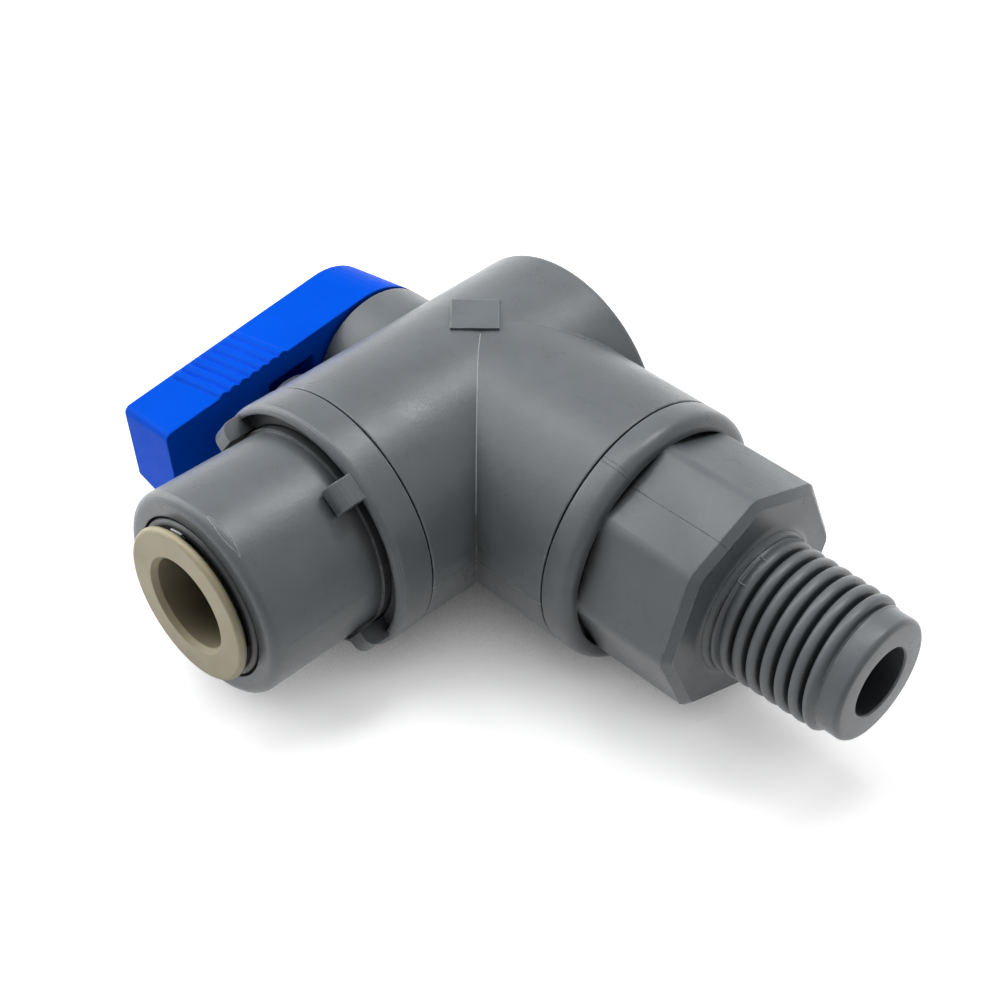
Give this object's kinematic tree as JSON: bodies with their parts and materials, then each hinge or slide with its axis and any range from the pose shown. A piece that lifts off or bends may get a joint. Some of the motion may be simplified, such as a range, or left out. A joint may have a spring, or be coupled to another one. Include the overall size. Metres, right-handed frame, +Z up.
{
  "type": "petcock valve",
  "caption": "Moulded angle petcock valve with a push-in tube port, a tapered male threaded spigot on an eight-sided nut and a blue side lever.",
  "frame": {"origin": "on the axis of the threaded spigot, at the middle of the first thread crest in front of the nut", "axes": "+X out along the threaded spigot, -Y out along the tube port, -X along the stem towards the lever, +Z up as the valve lies in the picture; metres"},
  "size_m": [0.0756, 0.0517, 0.0275],
  "materials": {
    "body_plastic": "moulded grey thermoplastic, satin",
    "lever_plastic": "moulded bright blue thermoplastic, satin",
    "collet_plastic": "moulded beige acetal",
    "dark_plastic": "moulded dark grey plastic",
    "seal_rubber": "black nitrile rubber",
    "ball_plastic": "polished off-white acetal",
    "seat_plastic": "white low-friction seat plastic",
    "stainless": "stainless steel"
  },
  "bodies": {
    "valve": {"valve_body": "body_plastic", "spanner_ring": "body_plastic", "tube_port_housing": "body_plastic", "housing_o_ring": "seal_rubber", "collet_retainer": "dark_plastic", "tube_o_ring": "seal_rubber", "o_ring_spacer": "dark_plastic", "spigot_adapter": "body_plastic", "adapter_o_ring": "seal_rubber", "front_seat": "seat_plastic", "front_seat_o_ring": "seal_rubber", "rear_seat": "seat_plastic", "rear_seat_o_ring": "seal_rubber", "stem_thrust_washer": "seat_plastic"},
    "handle": {"lever": "lever_plastic", "stem": "ball_plastic", "ball": "ball_plastic", "inner_stem_o_ring": "seal_rubber", "outer_stem_o_ring": "seal_rubber", "lever_screw": "stainless", "screw_washer": "stainless"},
    "collet_body": {"collet": "collet_plastic", "grip_teeth": "stainless"}
  },
  "joints": [
    {"name": "lever_turn", "type": "hinge", "parent": "valve", "child": "handle", "pos_m": [-0.0382, 0, 0], "axis": [-1, 0, 0], "range_deg": [0, 90]},
    {"name": "collet_release", "type": "slide", "parent": "valve", "child": "collet_body", "axis": [0, 1, 0], "range_m": [0, 0.0014]}
  ]
}
